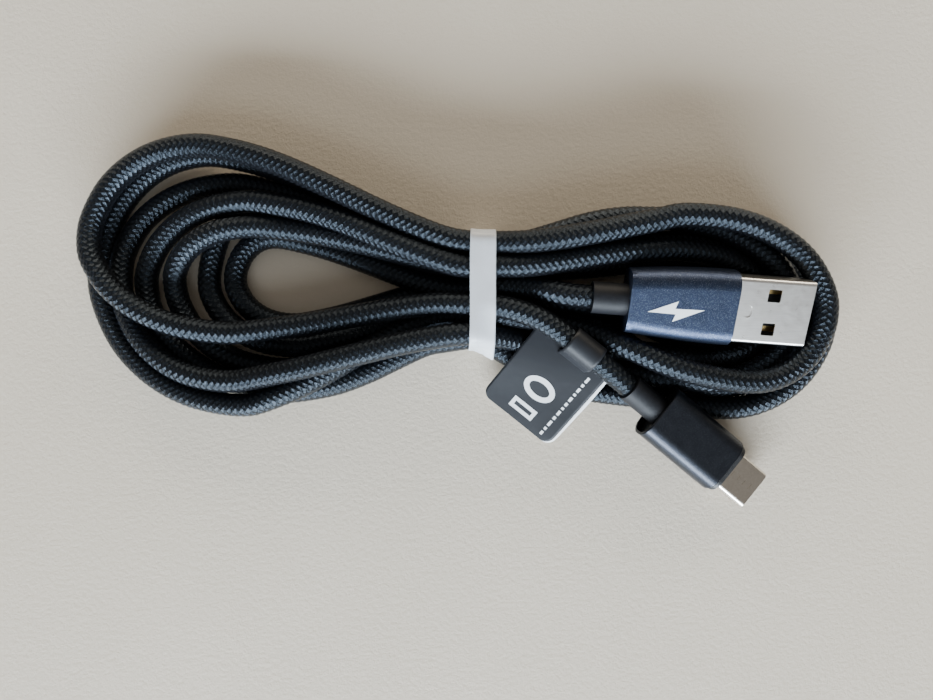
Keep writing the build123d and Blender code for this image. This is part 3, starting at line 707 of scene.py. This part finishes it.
def table_top():
    """The pale floor: painted board with a slight orange peel."""
    m = Nodes("table_top")
    broad, fine, specks = m.noise(0.012, 3.0), m.noise(1.1, 6.0, 0.7), m.noise(3.5, 4.0)
    m.set(
        colour=m.ramp(broad, ((0.3, (0.65, 0.565, 0.45)), (0.7, (0.71, 0.62, 0.50)))),
        roughness=m.math("MULTIPLY_ADD", specks, 0.2, 0.45),
        specular=0.35,
    )
    m.bump(fine, 0.14)
    return m.material


def by_name(maker, rows):
    """A material of each row, by its name. A row is the name and what the maker takes after it."""
    return {name: maker(name, *values) for name, *values in rows}


# Name, colour, roughness, tint, grain and specular
FILMS = (
    ("band_film", (0.66, 0.685, 0.72), 0.28, 0.07),
    ("label_film", (0.017, 0.0185, 0.0225), 0.44, 0.15, 0.01, 0.32),
    ("print_white", (0.86, 0.87, 0.88), 0.45, 0.04),
)
# Name, colour, roughness, grain and the share of painted glints
HOUSINGS = (
    # The anodised housing's colour is partly its own dark colour and partly a painted blue
    # reflection of the sky.
    ("anodised_housing", (0.031, 0.043, 0.079), 0.34, 0.016, 0.35),
    ("satin_housing", (0.030, 0.033, 0.041), 0.30, 0.006, 0.08),
)
# Name, colour, roughness, how the lines are drawn out along each axis, and grain
METALS = (
    ("steel_shell", (0.93, 0.90, 0.86), 0.30, (0.25, 6.0, 6.0)),
    ("nickel_shell", (0.80, 0.74, 0.66), 0.15, (2.0, 2.0, 2.0), 0.002),
    ("gold_contact", (0.92, 0.70, 0.32), 0.22, (1.0, 8.0, 8.0)),
    ("spring_steel", (0.70, 0.70, 0.70), 0.28, (1.0, 8.0, 8.0)),
    ("crimp_metal", (0.60, 0.58, 0.55), 0.38, (3.0, 3.0, 3.0), 0.01),
)
# Name, colour, roughness, grain, tint and specular
PLASTICS = (
    ("relief_plastic", (0.009, 0.0095, 0.012), 0.52, 0.02, 0.25, 0.28),
    ("black_insulator", (0.016, 0.016, 0.017), 0.45),
    ("inner_jacket", (0.030, 0.030, 0.032), 0.5),
    ("core_red", (0.55, 0.03, 0.03), 0.4),
    ("core_white", (0.80, 0.80, 0.78), 0.4, 0.02, 0.05),
    ("core_green", (0.03, 0.32, 0.09), 0.4),
    ("core_black", (0.02, 0.02, 0.02), 0.4),
    ("circuit_board", (0.02, 0.16, 0.07), 0.3),
    ("chip", (0.04, 0.04, 0.04), 0.35),
)
MATERIALS = {
    "braided_nylon": braided_nylon(),
    **by_name(film, FILMS),
    **by_name(blasted_aluminium, HOUSINGS),
    **by_name(plated_metal, METALS),
    **by_name(plastic, PLASTICS),
}


def dress_nodes():
    """Give every CAD node the material of its slot in the record."""
    for row in frame["record"]["subparts"]:
        node = frame["nodes"][row["node"]]
        node.data.materials.clear()
        node.data.materials.append(MATERIALS[row["material_slot"]])


# ---------------------------------------------------------------- the band
def strip_mesh(name, rows, closed, material):
    """A sheet with two sides, from rows of (inner, outer) points joined into one closed skin."""
    count = len(rows[0][0])
    points, faces = [], []
    for inner, outer in rows:
        points += list(inner) + list(outer)
    block = 2 * count
    last = count if closed else count - 1
    for r in range(len(rows) - 1):
        for k in range(last):
            n = (k + 1) % count
            a, b = r * block + k, r * block + n
            c, d = b + block, a + block
            faces.append((a, b, c, d))
            faces.append((d + count, c + count, b + count, a + count))
    for r, flip in ((0, False), (len(rows) - 1, True)):
        for k in range(last):
            n = (k + 1) % count
            a, b = r * block + k, r * block + n
            c, d = b + count, a + count
            faces.append((a, b, c, d) if flip else (a, d, c, b))
    if not closed:
        for r in range(len(rows) - 1):
            for k, flip in ((0, False), (count - 1, True)):
                a = r * block + k
                b = a + block
                c, d = b + count, a + count
                faces.append((a, d, c, b) if flip else (a, b, c, d))
    return make_mesh(name, points, faces, material)


BAND_X_START, BAND_X_END = 3.0, 7.7
BAND_COLUMNS = 15
BAND_POINTS = 160
BAND_GAP, BAND_FILM = 0.10, 0.22
# How far from the band's middle strands are looked for, and from each column
BAND_REACH, COLUMN_REACH = 2.9, 0.9
# How far the far edge of the band follows its bow
FAR_EDGE_BOW = 0.6
HULL_DIRECTIONS = 720
ROUNDING_PASSES = 6


def hull_ring(centres, grow, count):
    """Evenly spaced points on the smooth outline round circles of the cord, grown by a margin."""
    angles = np.linspace(0, 2 * np.pi, HULL_DIRECTIONS, endpoint=False)
    normals = np.stack([np.cos(angles), np.sin(angles)], axis=1)
    touching = centres[np.argmax(centres @ normals.T, axis=0)]
    outline = touching + normals * (CORD_R + grow)
    closed = np.concatenate([outline, outline[:1]])
    arc = np.concatenate([[0], np.cumsum(np.linalg.norm(np.diff(closed, axis=0), axis=1))])
    at = np.linspace(0, arc[-1], count, endpoint=False)
    ring = np.stack([np.interp(at, arc, closed[:, k]) for k in range(2)], axis=1)
    for _ in range(ROUNDING_PASSES):
        ring = (np.roll(ring, 1, axis=0) + 2 * ring + np.roll(ring, -1, axis=0)) / 4
    return ring


def make_band(line):
    """The band: film pulled tight round the strands, along the hull of their sections."""
    strands = line / MM
    near = strands[np.abs(strands[:, 0] - BAND_MIDDLE_X) < BAND_REACH]
    angle = np.arange(BAND_POINTS) / BAND_POINTS * 2 * np.pi
    bow = 0.14 * np.sin(angle + 0.6) + 0.06 * np.sin(3 * angle)
    rows = []
    for c in range(BAND_COLUMNS):
        share = c / (BAND_COLUMNS - 1)
        x = BAND_X_START + (BAND_X_END - BAND_X_START) * share
        close = near[np.abs(near[:, 0] - x) < COLUMN_REACH][:, 1:]
        inner = hull_ring(close, BAND_GAP, BAND_POINTS)
        outer = hull_ring(close, BAND_GAP + BAND_FILM, BAND_POINTS)
        lift = 0.035 * np.sin(5 * angle + 4 * share) * np.sin(np.pi * share)
        xs = x + bow * (FAR_EDGE_BOW if share > 0.5 else 1.0)
        grown = inner + (outer - inner) * (1 + lift[:, None])
        rows.append((np.column_stack([xs, inner]) * MM, np.column_stack([xs, grown]) * MM))
    band = strip_mesh("band", rows, True, MATERIALS["band_film"])
    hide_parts("tie_band")
    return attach(band, "cable")


# ---------------------------------------------------------------- the flag label
FLAG_NEAR, FLAG_FAR, FLAG_BACK, FLAG_FRONT = 0.8, 19.6, -9.2, 7.1
FLAG_CORNER = 2.0
CORNER_ANGLES = (15, 30, 45, 60, 75, 86)
FLAG_ROWS, FLAG_LINES = 26, 33
CURL = 0.35
# Heights of the folded film's layers above the flag's underside, and of the print on it
BACK_LAYER, FRONT_LAYER = (0.02, 0.14), (0.14, 0.30)
PRINT_LEVEL = 0.325
# How far the back layer shows past the front one, where it shows most
BACK_SHOWS = 0.55

WRAP_TIP_OUT = 3.9
WRAP_TIP_UP = 0.36 - SLEEVE_R
WRAP_FILM = 0.3
WRAP_ROWS = 13

# The print, as (out, along): a ring and a frame, and dashes in place of a line of text
RING_CENTRE = (11.7, -1.2)
RING_OUTER, RING_INNER = (2.3, 3.3), (1.25, 2.2)
RING_POINTS = 72
FRAME_OUTER = ((15.6, -3.9), (15.6, 1.5), (17.9, 1.5), (17.9, -3.9))
FRAME_INNER = ((16.35, -3.15), (16.35, 0.75), (17.15, 0.75), (17.15, -3.15))
DASHES = (1.2, 0.6, 0.9, 0.5, 1.0, 0.7, 0.5, 1.0, 0.7, 1.2, 0.6, 0.8)
DASH_START, DASH_GAP = 4.0, 0.45
DASH_ALONG = (4.3, 4.85)


def on_flag(out, along, height):
    """A point on the hanging flag, in metres: out from the lead, along it, and above the flag."""
    rise = height - SLEEVE_R
    share = max(0.0, out / FLAG_FAR)
    wave = 0.10 * math.sin(2.3 * share * math.pi + along / 5)
    sag = CURL * math.sin(math.pi * share) + wave
    tip = 0.25 * share**3 * ((along + 1) / 8) ** 2
    place = SLEEVE_AT + SLEEVE_ALONG * along + FLAG_OUT * out + FLAG_UP * (rise + sag + tip)
    return place * MM


def flag_span(out):
    """Where the film starts and ends along the lead at a distance out from it."""
    edge = FLAG_FAR - out
    inset = 0.0
    if edge < FLAG_CORNER:
        inset = FLAG_CORNER - math.sqrt(max(0.0, FLAG_CORNER**2 - (FLAG_CORNER - edge) ** 2))
    return FLAG_BACK + inset, FLAG_FRONT - inset


def flag_sheet(name, grow_front, layer, material):
    """One layer of the flag between two heights, wider at its front edge by a margin."""
    outs = list(np.linspace(FLAG_NEAR, FLAG_FAR - FLAG_CORNER, FLAG_ROWS))
    for angle in CORNER_ANGLES:
        outs.append(FLAG_FAR - FLAG_CORNER + FLAG_CORNER * math.sin(math.radians(angle)))
    rows = []
    for out in outs:
        start, stop = flag_span(out)
        stop += grow_front * (1.2 - 0.9 * abs(out / FLAG_FAR - 0.4))
        lines = [start + (stop - start) * t for t in np.linspace(0, 1, FLAG_LINES)]
        rows.append([[on_flag(out, along, height) for along in lines] for height in layer])
    return strip_mesh(name, rows, False, material)


def wrap_ring(radius, tip_out, tip_up):
    """The film's path seen along the lead: round it, out to a tip on the flag and back."""
    reach = math.hypot(tip_out, tip_up)
    leave = math.atan2(tip_up, tip_out) + math.acos(radius / reach)
    arc = [leave + (1.5 * math.pi - leave) * k / 40 for k in range(41)]
    ring = [(radius * math.cos(a), radius * math.sin(a)) for a in arc]
    ring += [(tip_out * k / 8, -radius + (tip_up + radius) * k / 8) for k in range(1, 9)]
    top = (radius * math.cos(leave), radius * math.sin(leave))
    for k in range(1, 12):
        t = k / 12
        sag = 0.22 * math.sin(math.pi * t)
        ring.append((tip_out + (top[0] - tip_out) * t, tip_up + (top[1] - tip_up) * t - sag))
    return ring


def make_wrap(name, material):
    """The strip of film wrapped round the lead and stuck down on the flag."""
    inner = wrap_ring(SLEEVE_R - WRAP_FILM, WRAP_TIP_OUT - 2 * WRAP_FILM, -SLEEVE_R + 0.32)
    outer = wrap_ring(SLEEVE_R, WRAP_TIP_OUT, WRAP_TIP_UP)
    rows = []
    for step in range(WRAP_ROWS):
        along = -SLEEVE_HALF + 2 * SLEEVE_HALF * step / (WRAP_ROWS - 1)
        at = SLEEVE_AT + SLEEVE_ALONG * along
        rows.append(
            [
                [(at + FLAG_OUT * out + FLAG_UP * up) * MM for out, up in ring]
                for ring in (inner, outer)
            ]
        )
    return strip_mesh(name, rows, True, material)


def flag_print(name, pairs, closed):
    """Flat print on the flag's face, between pairs of points given as (out, along)."""
    points = [on_flag(out, along, PRINT_LEVEL) for pair in pairs for out, along in pair]
    faces = []
    count = len(pairs)
    for k in range(count if closed else count - 1):
        n = (k + 1) % count
        faces.append((2 * k, 2 * n, 2 * n + 1, 2 * k + 1))
    return make_mesh(name, points, faces, MATERIALS["print_white"])


def ring_point(size, angle):
    return RING_CENTRE[0] + size[0] * math.cos(angle), RING_CENTRE[1] + size[1] * math.sin(angle)


def join(name, objects):
    """Put the meshes of several objects into the first one."""
    keep = objects[0]
    with bpy.context.temp_override(active_object=keep, selected_editable_objects=objects):
        bpy.ops.object.join()
    keep.name = keep.data.name = name
    return keep


def make_prints():
    """The ring, the frame and the dashes, as separate objects."""
    turns = [2 * math.pi * k / RING_POINTS for k in range(RING_POINTS)]
    ring = [(ring_point(RING_OUTER, a), ring_point(RING_INNER, a)) for a in turns]
    prints = [
        flag_print("ring", ring, True),
        flag_print("frame", list(zip(FRAME_OUTER, FRAME_INNER)), True),
    ]
    at = DASH_START
    for width in DASHES:
        box = [[(out, along) for along in DASH_ALONG] for out in (at, at + width)]
        prints.append(flag_print("dash", box, False))
        at += width + DASH_GAP
    return prints


def make_label():
    """The flag's two layers, the strip round the lead and the print, which turn as one body."""
    back = flag_sheet("label_back", BACK_SHOWS, BACK_LAYER, MATERIALS["print_white"])
    front = flag_sheet("label_front", 0.0, FRONT_LAYER, MATERIALS["label_film"])
    wrap = make_wrap("label_wrap", MATERIALS["label_film"])
    label_print = join("label_print", make_prints())
    for piece in (back, front, wrap, label_print):
        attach(piece, "label")
    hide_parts("cable_label")


# ---------------------------------------------------------------- the mark on the wide plug
BOLT = ((-5.0, -0.4), (0.2, 1.9), (-0.2, 0.5), (5.0, 0.6), (-0.4, -1.9), (0.0, -0.5))
# The bolt's middle along the plug from its strain relief, to its left, and above its axis
BOLT_ALONG, BOLT_LEFT, BOLT_UP = 14.5, -0.6, 4.03


def make_mark():
    """A plain bolt printed on the wide plug's housing."""
    middle = A_UP * BOLT_UP
    points = [
        (USB_A_AT + A_ALONG * (BOLT_ALONG + x) + A_LEFT * (y + BOLT_LEFT) + middle) * MM
        for x, y in BOLT
    ]
    face = tuple(range(len(BOLT)))
    mark = make_mesh("plug_mark", points, [face], MATERIALS["print_white"], smooth=False)
    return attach(mark, "cable")


# ---------------------------------------------------------------- camera, light and floor
# The camera looks straight down, as in the photograph
CAMERA_AT = (2.45 * MM, -5.15 * MM, 138 * MM)
FOCAL_PIXELS = 700
IMAGE_WIDTH = 933
SENSOR = 36.0
CLIP_NEAR, CLIP_FAR = 0.01, 20

FLOOR_HALF = 4.0
ROOM_COLOUR, ROOM_STRENGTH = (0.92, 0.88, 0.82, 1), 0.29
# Name, place, width and height, power and colour. All look at the cable.
LIGHTS = (
    ("window", (-0.10, -1.06, 0.38), (1.7, 0.34), 66.0, (0.78, 0.89, 1.0)),
    ("wall", (0.0, -0.80, 0.86), (0.9, 0.35), 3.0, (0.78, 0.89, 1.0)),
    ("room", (0.15, 1.15, 0.34), (2.0, 0.45), 16.0, (1.0, 0.90, 0.74)),
)


def add_camera():
    data = bpy.data.cameras.new("camera")
    data.sensor_width = SENSOR
    data.lens = SENSOR * FOCAL_PIXELS / IMAGE_WIDTH
    data.clip_start, data.clip_end = CLIP_NEAR, CLIP_FAR
    camera = link(bpy.data.objects.new("camera", data))
    camera.location = CAMERA_AT
    bpy.context.scene.camera = camera


def add_area(name, place, size, power, colour):
    data = bpy.data.lights.new(name, "AREA")
    data.shape = "RECTANGLE"
    data.size, data.size_y = size
    data.energy = power
    data.color = colour
    lamp = link(bpy.data.objects.new(name, data))
    lamp.location = place
    towards = Vector((0, 0, 0)) - Vector(place)
    lamp.rotation_euler = towards.to_track_quat("-Z", "Y").to_euler()


def add_stage():
    half = FLOOR_HALF
    corners = [(-half, -half, 0), (half, -half, 0), (half, half, 0), (-half, half, 0)]
    make_mesh("floor", corners, [(0, 1, 2, 3)], table_top(), smooth=False)
    world = bpy.data.worlds.new("room")
    bpy.context.scene.world = world
    world.use_nodes = True
    background = world.node_tree.nodes["Background"]
    background.inputs["Color"].default_value = ROOM_COLOUR
    background.inputs["Strength"].default_value = ROOM_STRENGTH
    for light in LIGHTS:
        add_area(*light)


# ---------------------------------------------------------------- the scene
dress_nodes()
add_camera()

line = spline_line(settle(first_route()))
cord = braided_tube("cord", line, MATERIALS["braided_nylon"])
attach(cord, "cable")
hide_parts("cord_hank", "cord_lead_usb_a", "cord_lead_usb_c")
make_band(line)
make_label()
make_mark()
add_stage()
